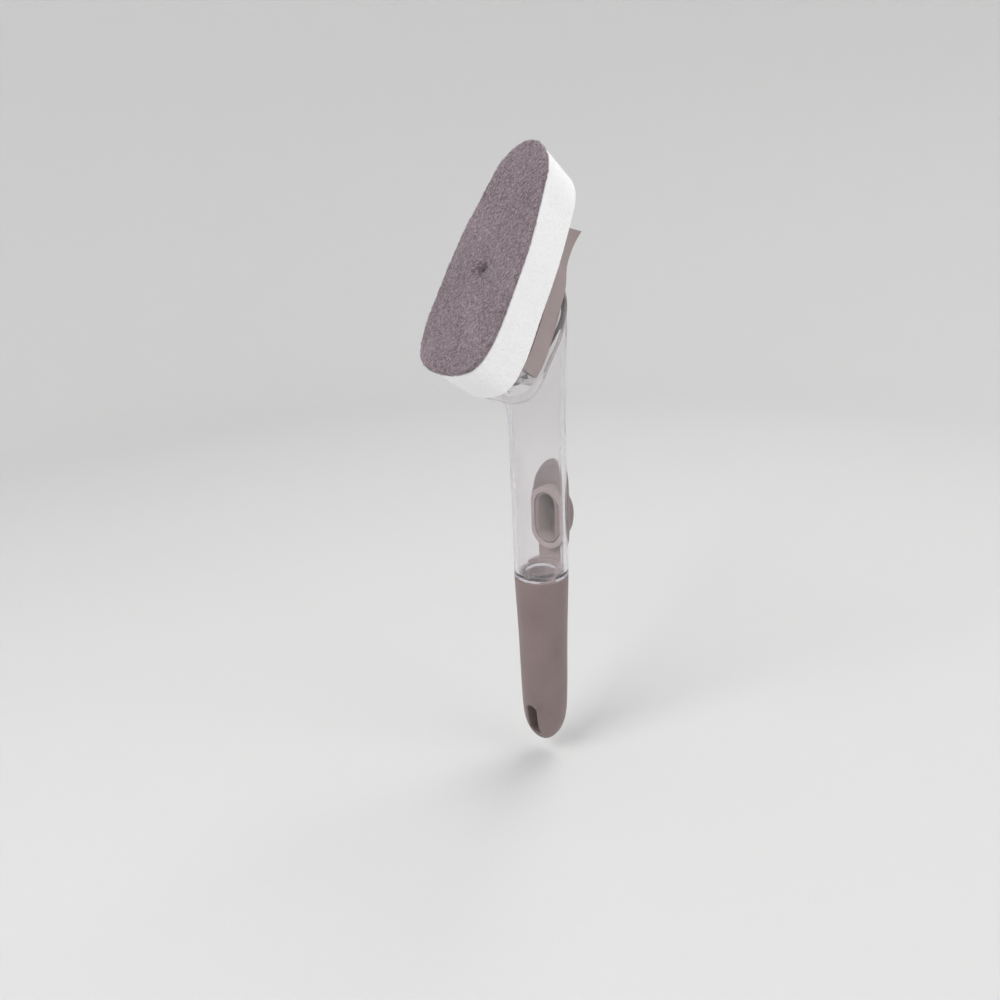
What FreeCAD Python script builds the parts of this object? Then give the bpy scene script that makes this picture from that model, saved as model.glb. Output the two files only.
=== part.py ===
import FreeCAD, Part
import math
import os

from FreeCAD import Placement, Rotation, Vector

# Dish wand: a clear handle that holds soap, a push button on its back, a screw-off grip
# and a slide-off head with foam and scouring pad. Millimetres. The origin is on the
# handle axis where tube and grip meet, +Z runs up the handle, -Y is the pad side.

# Clear handle tube
TUBE_RADIUS = 12.6
TUBE_WALL = 2.0
TUBE_SPREAD = 0.9

# Threaded neck under the tube
NECK_WALL = 1.8
NECK_LENGTH = 14.0
SHOULDER = 2.0
THREAD_PITCH = 3.5
THREAD_HEIGHT = 0.9
THREAD_ROOT = 1.5
THREAD_CREST = 0.8
THREAD_LENGTH = 7.0
THREAD_TOP = 4.5
THREAD_GAP = 0.3
THREAD_SINK = 0.25

# Screw-off grip
GRIP_LENGTH = 88.8
GRIP_WAIST_TAPER = 1.1
GRIP_TAIL_TAPER = 1.8
GRIP_TOP_ROUND = 0.8
JOINT_GAP = 0.3
SLEEVE_WALL = 1.5
CAP_WALL = 1.1
CAP_BORE_STEP = 0.6
CAP_BORE_WEB = 5.0
SEAL_THICKNESS = 1.6
SEAL_WIDTH = 2.4
SEAL_GAP = 0.1
HANG_SLOT_WIDTH = 5.6
HANG_SLOT_LENGTH = 17.0
HANG_SLOT_TO_END = 5.5
HANG_SLOT_LINING = 1.4
HANG_SLOT_ROUND = 0.8

# Dispenser button on the back of the tube
BUTTON_HEIGHT = 26.0
BUTTON_SIDE_MARGIN = 3.4
BUTTON_LENGTH = 24.0
BUTTON_PROUD = 6.4
BUTTON_CROWN = 4.2
BUTTON_CROSS_RADIUS = 10.0
BUTTON_ROUND = 1.2
BUTTON_WALL = 1.6
BUTTON_ROOT = 7.0
BUTTON_GAP = 0.3
SKIRT_COLLAR = 0.8
SKIRT_THICKNESS = 1.6
SKIRT_EDGE = 0.8
SKIRT_SIDE_MARGIN = 2.0
SKIRT_LENGTH = 45.0
SKIRT_CENTRE = 30.0
CARRIER_WALL = 1.6
CARRIER_RIM = 4.6
TONGUE_THICKNESS = 1.5
TONGUE_HALF_WIDTH = 6.5
FOOT_HALF_WIDTH = 8.6
FOOT_HEIGHT = 2.4
FOOT_DEPTH = 3.0

# Inclined head
DECK_HEIGHT = 122.4
HEAD_TILT = 34.0
FLARE_START = 35.0
FLARE_RUN_IN = 5.0
FLARE_DEPTH = 17.0
SEAT_HALF_WIDTH = 16.6
SEAT_LOW_END = 36.0
SEAT_LAP = 0.6
RIM_HEIGHT = 2.2
RIM_HALF_WIDTH = 18.9
RIM_LOW_END = 43.2
RIM_ROUND = 0.6
HEEL_REACH = 14.6
SHOE_WALL = 2.0
TOE_INSET = 3.0
TOE_REACH = 9.1
TOE_ROUND = 0.8

# Rail that holds the head in the shoe
RAIL_NECK_HALF_WIDTH = 4.7
RAIL_NECK_HEIGHT = 2.0
RAIL_HALF_WIDTH = 7.7
RAIL_HEIGHT = 2.4
RAIL_TO_TOE = 8.4
RAIL_GAP = 0.3
CHANNEL_WALL = 1.8

# Soap outlet
OUTLET_OFFSET = 2.0
OUTLET_RADIUS = 2.0
VALVE_RADIUS = 4.4
VALVE_FLANGE = 1.2
VALVE_SLIT = 0.4
VALVE_RING_HEIGHT = 1.6
VALVE_RING_WIDTH = 2.0
BOSS_WALL = 1.8

# Head base
BASE_THICKNESS = 10.0
BASE_HALF_WIDTH = 17.2
BASE_LOW_END = 41.0
BASE_ROUND = 0.6
TAB_NECK_HALF_WIDTH = 10.0
TAB_HALF_WIDTH = 11.5
TAB_END = 34.2
TAB_LEAN = 20.0

# Foam and scouring pad
PAD_LENGTH = 101.0
PAD_HALF_WIDTH = 19.2
PAD_BACK_HALF_WIDTH = 17.4
PAD_BACK_WAIST = 0.95
PAD_LOW_END = 46.5
PAD_TIP_INSET = 1.0
FOAM_THICKNESS = 22.4
SCOURER_THICKNESS = 2.4

# Small gaps between seated pieces
SEAT_GAP = 0.05
GLUE_GAP = 0.1

HEAD = Placement(Vector(0, 0, DECK_HEIGHT), Rotation(Vector(1, 0, 0), 90 - HEAD_TILT))
FAR = 3 * PAD_LENGTH

TUBE_BORE = TUBE_RADIUS - TUBE_WALL
SOCKET_RADIUS = TUBE_RADIUS - SLEEVE_WALL - CAP_WALL
NECK_RADIUS = SOCKET_RADIUS - THREAD_GAP - THREAD_HEIGHT
NECK_BORE = NECK_RADIUS - NECK_WALL
CAP_BORE_RADIUS = NECK_BORE - CAP_BORE_STEP
GRIP_WAIST_RADIUS = TUBE_RADIUS - GRIP_WAIST_TAPER
GRIP_TAIL_RADIUS = TUBE_RADIUS - GRIP_TAIL_TAPER
BUTTON_HALF_WIDTH = TUBE_BORE - BUTTON_SIDE_MARGIN
SKIRT_HALF_WIDTH = TUBE_RADIUS - SKIRT_SIDE_MARGIN
SOCKET_FLOOR = -NECK_LENGTH - SEAL_THICKNESS - 2 * SEAL_GAP
HANG_SLOT_CENTRE = -GRIP_LENGTH + HANG_SLOT_TO_END + HANG_SLOT_LENGTH / 2
CHANNEL_DEPTH = RAIL_NECK_HEIGHT + RAIL_HEIGHT + 2 * RAIL_GAP
BOSS_TOP = -CHANNEL_DEPTH - CHANNEL_WALL
BOSS_BOTTOM = BOSS_TOP - VALVE_FLANGE - VALVE_RING_HEIGHT - 3 * GLUE_GAP
VALVE_SEAT_RADIUS = VALVE_RADIUS + 2 * SEAT_GAP
PAD_BOTTOM = RAIL_GAP + BASE_THICKNESS + GLUE_GAP
TOE_END = -BASE_LOW_END + TOE_REACH
TOE_TOP = PAD_BOTTOM - RAIL_GAP
RAIL_LOW_END = -TOE_END - RAIL_TO_TOE


def wire_of(points):
    """Closed straight-sided wire through the points."""
    return Part.makePolygon(points + points[:1])


def solid_between(wire, depth):
    """Prism of the wire's face along the depth vector."""
    return Part.Face(wire).extrude(depth)


def revolved(edges):
    """Solid of revolution about Z of a closed profile in the XZ plane."""
    face = Part.Face(Part.Wire(Part.__sortEdges__(edges)))
    return face.revolve(Vector(0, 0, 0), Vector(0, 0, 1), 360)


def lines(points):
    """Straight edges that join the points in order."""
    return [Part.LineSegment(a, b).toShape() for a, b in zip(points, points[1:])]


def cylinder(radius, low, high):
    """Upright cylinder on the Z axis between two heights."""
    return Part.makeCylinder(radius, high - low, Vector(0, 0, low))


def slot_prism(half_width, length, centre, low, high):
    """Prism along Y, from low to high, of an upright slot with round ends."""
    straight = length / 2 - half_width
    corners = [
        Vector(-half_width, low, centre - straight),
        Vector(half_width, low, centre - straight),
        Vector(half_width, low, centre + straight),
        Vector(-half_width, low, centre + straight),
    ]
    bottom = Vector(0, low, centre - length / 2)
    top = Vector(0, low, centre + length / 2)
    edges = [
        Part.Arc(corners[0], bottom, corners[1]).toShape(),
        Part.LineSegment(corners[1], corners[2]).toShape(),
        Part.Arc(corners[2], top, corners[3]).toShape(),
        Part.LineSegment(corners[3], corners[0]).toShape(),
    ]
    return solid_between(Part.Wire(edges), Vector(0, high - low, 0))


def block(half_width, back, front, low, high):
    """Box in the head's frame, centred on X."""
    corner = Vector(-half_width, back, low)
    return Part.makeBox(2 * half_width, front - back, high - low, corner)


def closed_outline(stations, height, margin=0.0):
    """Smooth outline in the head's frame through (half width, along) stations.

    The first and last stations lie on the centre line. The margin moves every
    station outward along the outline's own normal.
    """
    right = [Vector(half, along, 0) for half, along in stations]
    left = [Vector(-p.x, p.y, 0) for p in reversed(right[1:-1])]
    ring = right + left
    moved = []
    for index, point in enumerate(ring):
        tangent = ring[(index + 1) % len(ring)] - ring[index - 1]
        outward = Vector(tangent.y, -tangent.x, 0).normalize()
        moved.append(point + outward * margin + Vector(0, 0, height))
    curve = Part.BSplineCurve()
    curve.interpolate(Points=moved, PeriodicFlag=True)
    return Part.Wire(curve.toShape())


def handle_section(radius, depth):
    """The handle's own section in the plane that lies depth under the deck."""
    reach = radius / math.sin(math.radians(HEAD_TILT))
    centre = -depth / math.tan(math.radians(HEAD_TILT))
    middle = Vector(0, centre, -depth)
    low_end = Vector(0, centre - reach, -depth)
    side = Vector(radius, centre, -depth)
    return Part.Wire(Part.Ellipse(low_end, side, middle).toShape())


def base_stations():
    """Half of the base's outline, from its low end up to the corner of the thumb tab."""
    return [
        (0.0, -BASE_LOW_END),
        (0.40 * BASE_HALF_WIDTH, -0.984 * BASE_LOW_END),
        (0.76 * BASE_HALF_WIDTH, -0.904 * BASE_LOW_END),
        (0.95 * BASE_HALF_WIDTH, -0.74 * BASE_LOW_END),
        (BASE_HALF_WIDTH, -0.53 * BASE_LOW_END),
        (0.965 * BASE_HALF_WIDTH, -0.27 * BASE_LOW_END),
        (0.88 * BASE_HALF_WIDTH, 0.03 * BASE_LOW_END),
        (0.80 * BASE_HALF_WIDTH, 0.275 * TAB_END),
        (1.07 * TAB_NECK_HALF_WIDTH, 0.52 * TAB_END),
        (TAB_NECK_HALF_WIDTH, 0.67 * TAB_END),
        (TAB_HALF_WIDTH, TAB_END),
    ]


def rim_stations():
    """The shoe's rim: a square-shouldered low end and a round heel under the base."""
    return [
        (0.0, -RIM_LOW_END),
        (0.53 * RIM_HALF_WIDTH, -0.984 * RIM_LOW_END),
        (0.80 * RIM_HALF_WIDTH, -0.912 * RIM_LOW_END),
        (0.93 * RIM_HALF_WIDTH, -0.80 * RIM_LOW_END),
        (0.955 * RIM_HALF_WIDTH, -0.62 * RIM_LOW_END),
        (RIM_HALF_WIDTH, -0.37 * RIM_LOW_END),
        (0.915 * RIM_HALF_WIDTH, -0.06 * RIM_LOW_END),
        (0.74 * RIM_HALF_WIDTH, 0.36 * HEEL_REACH),
        (0.42 * RIM_HALF_WIDTH, 0.82 * HEEL_REACH),
        (0.0, HEEL_REACH),
    ]


def seat_stations():
    """Top of the tube's flare, under the shoe's rim: an oval low end and the heel's round."""
    return [
        (0.0, -SEAT_LOW_END),
        (0.40 * SEAT_HALF_WIDTH, -0.93 * SEAT_LOW_END),
        (0.75 * SEAT_HALF_WIDTH, -0.72 * SEAT_LOW_END),
        (0.95 * SEAT_HALF_WIDTH, -0.40 * SEAT_LOW_END),
        (SEAT_HALF_WIDTH, -0.08 * SEAT_LOW_END),
        (0.81 * SEAT_HALF_WIDTH, 0.36 * HEEL_REACH),
        (0.45 * SEAT_HALF_WIDTH, 0.80 * HEEL_REACH),
        (0.0, HEEL_REACH - SEAT_LAP),
    ]


def pad_stations(half_width, waist, end_inset):
    """Iron-shaped pad: broad low end, drawn in by the waist at its middle, tip at the top."""
    tip = PAD_LENGTH - PAD_LOW_END - end_inset
    return [
        (0.0, -PAD_LOW_END),
        (0.34 * half_width, 0.007 * PAD_LENGTH - PAD_LOW_END),
        (0.74 * half_width, 0.042 * PAD_LENGTH - PAD_LOW_END),
        (0.94 * half_width, 0.125 * PAD_LENGTH - PAD_LOW_END),
        (waist * half_width, 0.34 * PAD_LENGTH - PAD_LOW_END),
        (0.95 * waist * half_width, 0.58 * PAD_LENGTH - PAD_LOW_END),
        (0.775 * half_width, 0.78 * PAD_LENGTH - PAD_LOW_END),
        (0.52 * half_width, 0.94 * PAD_LENGTH - PAD_LOW_END - end_inset),
        (0.0, tip),
    ]


def thread(radius, crest_radius, middle):
    """Right-hand thread ridge from a cylinder's wall to its crest."""
    sunk = THREAD_SINK if crest_radius < radius else -THREAD_SINK
    start = middle - THREAD_LENGTH / 2
    path = Part.Wire(Part.makeHelix(THREAD_PITCH, THREAD_LENGTH, radius))
    profile = wire_of([
        Vector(radius + sunk, 0, -THREAD_ROOT / 2),
        Vector(crest_radius, 0, -THREAD_CREST / 2),
        Vector(crest_radius, 0, THREAD_CREST / 2),
        Vector(radius + sunk, 0, THREAD_ROOT / 2),
    ])
    ridge = path.makePipeShell([profile], True, True)
    ridge.translate(Vector(0, 0, start))
    return ridge


def tube_solid(inset, bottom):
    """Solid handle tube, inset from its outer skin."""
    return cylinder(TUBE_RADIUS - inset, bottom, DECK_HEIGHT + HEEL_REACH)


def above_plane(depth):
    """Everything that lies above the plane that is depth under the deck."""
    space = block(FAR, -FAR, FAR, -depth, FAR)
    space.Placement = HEAD
    return space


def flare(inset):
    """Solid in the head's frame that widens smoothly from tube to seat, inset from its skin."""
    radius = TUBE_RADIUS - inset
    start = handle_section(radius, FLARE_START)
    run_in = handle_section(radius, FLARE_START - FLARE_RUN_IN)
    spread = handle_section(radius + TUBE_SPREAD, FLARE_DEPTH)
    seat = closed_outline(seat_stations(), -RIM_HEIGHT, -inset)
    return Part.makeLoft([start, run_in, spread, seat], True)


def handle_solid(inset, bottom):
    """Tube and flare as one solid, inset from the outer skin."""
    top = flare(inset)
    top.Placement = HEAD
    return tube_solid(inset, bottom).cut(above_plane(FLARE_START)).fuse(top)


def make_reservoir_body():
    """Clear tube that flares to the shoe, with its threaded neck and the button's window."""
    body = handle_solid(0.0, 0.0).fuse(cylinder(NECK_RADIUS, -NECK_LENGTH, SHOULDER))
    body = body.cut(handle_solid(TUBE_WALL, SHOULDER))
    body = body.cut(cylinder(NECK_BORE, -NECK_LENGTH, SHOULDER))
    body = body.cut(slot_prism(window_half_width(), window_length(), BUTTON_HEIGHT, 0, 2 * TUBE_RADIUS))
    rail_way = rail_prism(RAIL_GAP, -RAIL_LOW_END, FAR)
    rail_way.Placement = HEAD
    body = body.cut(rail_way)
    middle = -THREAD_TOP - THREAD_LENGTH / 2
    return body.fuse(thread(NECK_RADIUS, NECK_RADIUS + THREAD_HEIGHT, middle))


def window_half_width():
    """Half width of the window in the tube: button, its gap and the skirt's collar."""
    return BUTTON_HALF_WIDTH + BUTTON_GAP + SKIRT_COLLAR + SEAT_GAP


def window_length():
    """Length of that window."""
    return BUTTON_LENGTH + 2 * (BUTTON_GAP + SKIRT_COLLAR + SEAT_GAP)


def make_dispenser_button():
    """Hollow, crowned pad that the thumb presses."""
    top = TUBE_RADIUS + BUTTON_PROUD
    pad = slot_prism(BUTTON_HALF_WIDTH, BUTTON_LENGTH, BUTTON_HEIGHT, BUTTON_ROOT, top)
    pad = pad.common(button_dome(0.0))
    rim = [edge for edge in pad.Edges if edge.BoundBox.YMin > BUTTON_ROOT + BUTTON_WALL]
    pad = pad.makeFillet(BUTTON_ROUND, rim)
    hollow_half = BUTTON_HALF_WIDTH - BUTTON_WALL
    hollow_length = BUTTON_LENGTH - 2 * BUTTON_WALL
    hollow = slot_prism(hollow_half, hollow_length, BUTTON_HEIGHT, 0, top)
    return pad.cut(hollow.common(button_dome(BUTTON_WALL)))


def button_dome(inset):
    """Barrel whose skin, inset by a wall, is the button's crowned top."""
    reach = BUTTON_LENGTH / 2
    crown_radius = (reach ** 2 + BUTTON_CROWN ** 2) / (2 * BUTTON_CROWN)
    top = TUBE_RADIUS + BUTTON_PROUD
    axis = top - BUTTON_CROSS_RADIUS
    radius = crown_radius - inset
    end = top - crown_radius + math.sqrt(radius ** 2 - reach ** 2)
    low_end = Vector(0, end, BUTTON_HEIGHT - reach)
    high_end = Vector(0, end, BUTTON_HEIGHT + reach)
    skin = Part.Arc(low_end, Vector(0, top - inset, BUTTON_HEIGHT), high_end).toShape()
    low_axis = Vector(0, axis, low_end.z)
    high_axis = Vector(0, axis, high_end.z)
    profile = Part.Wire([skin] + lines([high_end, high_axis, low_axis, low_end]))
    return Part.Face(profile).revolve(low_axis, Vector(0, 0, 1), 360)


def skirt_barrel():
    """Barrel round the tube whose skin is the skirt's, thinner towards both ends."""
    reach = SKIRT_LENGTH / 2
    edge = TUBE_RADIUS + SKIRT_EDGE
    low_end = Vector(edge, 0, SKIRT_CENTRE - reach)
    high_end = Vector(edge, 0, SKIRT_CENTRE + reach)
    middle = Vector(TUBE_RADIUS + SKIRT_THICKNESS, 0, SKIRT_CENTRE)
    low_axis = Vector(0, 0, low_end.z)
    high_axis = Vector(0, 0, high_end.z)
    skin = Part.Arc(low_end, middle, high_end).toShape()
    return revolved([skin] + lines([high_end, high_axis, low_axis, low_end]))


def make_button_skirt():
    """Soft flange on the outside of the tube, with a collar through the window."""
    far_back = 2 * TUBE_RADIUS
    outer = skirt_barrel()
    flange = outer.cut(tube_solid(-SEAT_GAP, 0.0))
    flange = flange.common(slot_prism(SKIRT_HALF_WIDTH, SKIRT_LENGTH, SKIRT_CENTRE, 0, far_back))
    collar_half = window_half_width() - SEAT_GAP
    collar_length = window_length() - 2 * SEAT_GAP
    collar = outer.cut(tube_solid(TUBE_WALL, 0.0))
    collar = collar.common(slot_prism(collar_half, collar_length, BUTTON_HEIGHT, 0, far_back))
    return flange.fuse(collar).cut(button_hole(far_back)).removeSplitter()


def button_hole(far_back):
    """Space that the button slides in, from the handle axis out to the back."""
    half_width = BUTTON_HALF_WIDTH + BUTTON_GAP
    length = BUTTON_LENGTH + 2 * BUTTON_GAP
    return slot_prism(half_width, length, BUTTON_HEIGHT, 0, far_back)


def make_button_carrier():
    """Guide collar inside the tube round the button, with a tongue down to a foot bar."""
    outer = TUBE_BORE - SEAT_GAP
    low = SHOULDER + SEAT_GAP
    collar_half = window_half_width() + CARRIER_WALL
    collar_length = window_length() + 2 * CARRIER_WALL
    top = BUTTON_HEIGHT + collar_length
    bore = cylinder(outer, low, top)
    collar = bore.common(slot_prism(collar_half, collar_length, BUTTON_HEIGHT, CARRIER_RIM, outer))
    tongue_ring = bore.cut(cylinder(outer - TONGUE_THICKNESS, low, top))
    tongue = tongue_ring.common(upright_bar(TONGUE_HALF_WIDTH, low, BUTTON_HEIGHT))
    foot_ring = bore.cut(cylinder(outer - FOOT_DEPTH, low, top))
    foot = foot_ring.common(upright_bar(FOOT_HALF_WIDTH, low, low + FOOT_HEIGHT))
    return collar.fuse(tongue).fuse(foot).cut(button_hole(TUBE_RADIUS)).removeSplitter()


def upright_bar(half_width, low, high):
    """Box on the back half of the tube, centred on X."""
    return Part.makeBox(2 * half_width, TUBE_RADIUS, high - low, Vector(-half_width, 0, low))


def grip_solid(inset):
    """Solid tapered grip with a round tail, inset from its outer skin."""
    top = -JOINT_GAP
    tail = -GRIP_LENGTH + inset
    stations = [
        Vector(TUBE_RADIUS - inset, 0, top),
        Vector(GRIP_WAIST_RADIUS - inset, 0, -0.40 * GRIP_LENGTH),
        Vector(GRIP_TAIL_RADIUS - inset, 0, -0.76 * GRIP_LENGTH),
        Vector(0.66 * GRIP_TAIL_RADIUS - inset, 0, -0.94 * GRIP_LENGTH + 0.6 * inset),
        Vector(0, 0, tail),
    ]
    skin = Part.BSplineCurve()
    skin.interpolate(Points=stations, InitialTangent=stations[1] - stations[0], FinalTangent=Vector(-1, 0, 0))
    edges = [skin.toShape()]
    edges += lines([Vector(0, 0, tail), Vector(0, 0, top), stations[0]])
    return revolved(edges)


def hang_slot(grow):
    """Hanging slot through the tail from front to back, grown all round."""
    half = HANG_SLOT_WIDTH / 2 + grow
    length = HANG_SLOT_LENGTH + 2 * grow
    return slot_prism(half, length, HANG_SLOT_CENTRE, -2 * TUBE_RADIUS, 2 * TUBE_RADIUS)


def make_cap_core():
    """Rigid threaded core of the grip."""
    core = grip_solid(SLEEVE_WALL)
    bore_floor = HANG_SLOT_CENTRE + HANG_SLOT_LENGTH / 2 + HANG_SLOT_LINING + CAP_BORE_WEB
    core = core.cut(cylinder(SOCKET_RADIUS, SOCKET_FLOOR, TUBE_RADIUS))
    core = core.cut(cylinder(CAP_BORE_RADIUS, bore_floor, SOCKET_FLOOR))
    core = core.cut(hang_slot(HANG_SLOT_LINING))
    middle = -THREAD_TOP - THREAD_LENGTH / 2 + THREAD_PITCH / 2
    return core.fuse(thread(SOCKET_RADIUS, NECK_RADIUS + THREAD_GAP, middle)).removeSplitter()


def make_cap_seal():
    """Flat sealing ring between the neck's end and the floor of the socket."""
    low = SOCKET_FLOOR + SEAL_GAP
    ring = cylinder(NECK_BORE + SEAL_WIDTH, low, low + SEAL_THICKNESS)
    return ring.cut(cylinder(NECK_BORE, low, low + SEAL_THICKNESS))


def make_grip_shell():
    """Soft sleeve moulded over the core, lining the hanging slot."""
    sleeve = grip_solid(0.0)
    rim = [edge for edge in sleeve.Edges if edge.BoundBox.ZMin > -JOINT_GAP - SEAT_GAP]
    sleeve = sleeve.makeFillet(GRIP_TOP_ROUND, rim)
    core_space = grip_solid(SLEEVE_WALL - SEAT_GAP).cut(hang_slot(HANG_SLOT_LINING - SEAT_GAP))
    open_top = cylinder(TUBE_RADIUS - SLEEVE_WALL + SEAT_GAP, -2 * JOINT_GAP, JOINT_GAP)
    sleeve = sleeve.cut(hang_slot(0.0))
    sleeve = sleeve.makeFillet(HANG_SLOT_ROUND, slot_mouth_edges(sleeve))
    return sleeve.cut(core_space).cut(open_top)


def slot_mouth_edges(sleeve):
    """Edges where the hanging slot meets the sleeve's skin."""
    low = HANG_SLOT_CENTRE - HANG_SLOT_LENGTH / 2 - SEAT_GAP
    high = HANG_SLOT_CENTRE + HANG_SLOT_LENGTH / 2 + SEAT_GAP
    boxes = [(edge, edge.BoundBox) for edge in sleeve.Edges]
    near = [(edge, box) for edge, box in boxes if box.ZMin > low and box.ZMax < high]
    return [edge for edge, box in near if box.YLength < GRIP_TAIL_RADIUS and box.XLength < HANG_SLOT_WIDTH]


def rail_prism(grow, low_end, high_end):
    """T-shaped rail under the base, or with growth the slot that takes it."""
    neck_top = RAIL_GAP - grow
    neck_low = -RAIL_NECK_HEIGHT - RAIL_GAP + grow
    rail_low = neck_low - RAIL_HEIGHT - 2 * grow
    neck = block(RAIL_NECK_HALF_WIDTH + grow, low_end - grow, high_end, rail_low, neck_top)
    rail = block(RAIL_HALF_WIDTH + grow, low_end - grow, high_end, rail_low, neck_low)
    return neck.fuse(rail)


def rim_block(margin, low, high):
    """Block of the rim's outline between two heights over the deck, grown by the margin."""
    return solid_between(closed_outline(rim_stations(), low, margin), Vector(0, 0, high - low))


def toe_space(inset):
    """Everything on the toe's side of its end wall, inset by a wall."""
    return block(FAR, -FAR, TOE_END - inset, -FAR, FAR)


def shoe_fitting():
    """Rail channel and valve boss that hang under the deck, inside the flare."""
    channel_half = RAIL_HALF_WIDTH + RAIL_GAP + CHANNEL_WALL
    channel_end = -RAIL_LOW_END - RAIL_GAP - CHANNEL_WALL
    channel = block(channel_half, channel_end, FAR, BOSS_TOP, 0)
    boss = outlet_cylinder(VALVE_SEAT_RADIUS + BOSS_WALL, BOSS_BOTTOM, 0)
    inset = TUBE_WALL + SEAT_GAP
    space = flare(inset).fuse(rim_block(-inset, -RIM_HEIGHT, 0))
    return channel.fuse(boss).common(space)


def make_head_shoe():
    """Clear lid on the flare: rim and deck, rail channel, valve boss and raised toe."""
    low = -RIM_HEIGHT + SEAT_GAP
    rim = rim_block(0.0, low, 0)
    rim = rim.makeFillet(RIM_ROUND, edges_at_height(rim, 0))
    toe = rim_block(-TOE_INSET, low, TOE_TOP)
    toe = toe.makeFillet(TOE_ROUND, edges_at_height(toe, TOE_TOP)).common(toe_space(0.0))
    toe_hollow = rim_block(-TOE_INSET - SHOE_WALL, -FLARE_DEPTH, TOE_TOP - SHOE_WALL)
    shoe = rim.fuse(toe).cut(toe_hollow.common(toe_space(SHOE_WALL)))
    shoe = shoe.fuse(shoe_fitting())
    shoe = shoe.cut(rail_prism(RAIL_GAP, -RAIL_LOW_END, FAR))
    shoe = shoe.cut(outlet_cylinder(VALVE_SEAT_RADIUS, BOSS_BOTTOM, BOSS_TOP))
    return shoe.cut(outlet_cylinder(OUTLET_RADIUS, BOSS_TOP, 0))


def edges_at_height(piece, height):
    """Edges of a piece that lie flat at one height over the deck."""
    boxes = [(edge, edge.BoundBox) for edge in piece.Edges]
    return [edge for edge, box in boxes if max(abs(box.ZMin - height), abs(box.ZMax - height)) < SEAT_GAP]


def outlet_cylinder(radius, low, high):
    """Cylinder on the soap outlet's axis in the head's frame."""
    return Part.makeCylinder(radius, high - low, Vector(0, -OUTLET_OFFSET, low))


def make_outlet_valve():
    """Soft valve with a flange, a short spout and a slit."""
    top = BOSS_TOP - GLUE_GAP
    spout_top = -CHANNEL_DEPTH - GLUE_GAP
    valve = outlet_cylinder(VALVE_RADIUS, top - VALVE_FLANGE, top)
    valve = valve.fuse(outlet_cylinder(OUTLET_RADIUS - GLUE_GAP, top - VALVE_FLANGE, spout_top))
    slit_back = -OUTLET_OFFSET - OUTLET_RADIUS / 2
    slit_front = -OUTLET_OFFSET + OUTLET_RADIUS / 2
    return valve.cut(block(VALVE_SLIT / 2, slit_back, slit_front, -FAR, FAR)).removeSplitter()


def make_valve_ring():
    """Snap ring that holds the valve in its boss."""
    top = BOSS_TOP - 2 * GLUE_GAP - VALVE_FLANGE
    low = top - VALVE_RING_HEIGHT
    ring = outlet_cylinder(VALVE_RADIUS + SEAT_GAP, low, top)
    return ring.cut(outlet_cylinder(VALVE_RADIUS + SEAT_GAP - VALVE_RING_WIDTH, low, top))


def make_head_base():
    """Plate under the foam, with its T rail and a thumb tab at the top."""
    right = [Vector(half, along, RAIL_GAP) for half, along in base_stations()]
    left = [Vector(-p.x, p.y, p.z) for p in reversed(right[1:])]
    side = Part.BSplineCurve()
    side.interpolate(Points=left + right)
    end = Part.LineSegment(right[-1], left[0])
    plan = Part.Wire([side.toShape(), end.toShape()])
    body = solid_between(plan, Vector(0, 0, BASE_THICKNESS))
    lean = BASE_THICKNESS * math.tan(math.radians(TAB_LEAN))
    tab_end = wire_of([
        Vector(-FAR, TAB_END, RAIL_GAP),
        Vector(-FAR, TAB_END + lean, RAIL_GAP),
        Vector(-FAR, TAB_END, RAIL_GAP + BASE_THICKNESS),
        Vector(-FAR, TAB_END - lean, RAIL_GAP + BASE_THICKNESS),
    ])
    body = body.cut(solid_between(tab_end, Vector(2 * FAR, 0, 0)))
    body = body.cut(block(FAR, -FAR, TOE_END + RAIL_GAP, -FAR, FAR))
    body = body.makeFillet(BASE_ROUND, edges_at_height(body, RAIL_GAP))
    body = body.fuse(rail_prism(0.0, -RAIL_LOW_END, HEEL_REACH))
    return body.cut(outlet_cylinder(OUTLET_RADIUS, -FAR, FAR)).removeSplitter()


def pad_slice(low, high):
    """Slice of the pad between two heights over the deck, side walls leaning outward."""
    bottom = PAD_BOTTOM
    top = PAD_BOTTOM + FOAM_THICKNESS + GLUE_GAP + SCOURER_THICKNESS

    def outline(height):
        share = (height - bottom) / (top - bottom)
        half = PAD_BACK_HALF_WIDTH + share * (PAD_HALF_WIDTH - PAD_BACK_HALF_WIDTH)
        waist = PAD_BACK_WAIST + share * (1 - PAD_BACK_WAIST)
        return closed_outline(pad_stations(half, waist, PAD_TIP_INSET * (1 - share)), height)

    slab = Part.makeLoft([outline(low), outline(high)], True)
    return slab.cut(outlet_cylinder(OUTLET_RADIUS, low - FAR, high + FAR))


def make_foam_pad():
    """White foam pad on the base."""
    return pad_slice(PAD_BOTTOM, PAD_BOTTOM + FOAM_THICKNESS)


def make_scourer_pad():
    """Scouring pad on the foam, with the soap outlet at its middle."""
    low = PAD_BOTTOM + FOAM_THICKNESS + GLUE_GAP
    return pad_slice(low, low + SCOURER_THICKNESS)


HANDLE_PARTS = {
    "reservoir_body": make_reservoir_body,
    "dispenser_button": make_dispenser_button,
    "button_skirt": make_button_skirt,
    "button_carrier": make_button_carrier,
    "cap_core": make_cap_core,
    "cap_seal": make_cap_seal,
    "grip_shell": make_grip_shell,
}

HEAD_PARTS = {
    "head_shoe": make_head_shoe,
    "outlet_valve": make_outlet_valve,
    "valve_ring": make_valve_ring,
    "head_base": make_head_base,
    "foam_pad": make_foam_pad,
    "scourer_pad": make_scourer_pad,
}


def main():
    """Build every piece and write it to its own file."""
    os.makedirs("parts", exist_ok=True)
    for name, make in HANDLE_PARTS.items():
        write(name, make())
    for name, make in HEAD_PARTS.items():
        piece = make()
        piece.Placement = HEAD.multiply(piece.Placement)
        write(name, piece)


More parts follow.
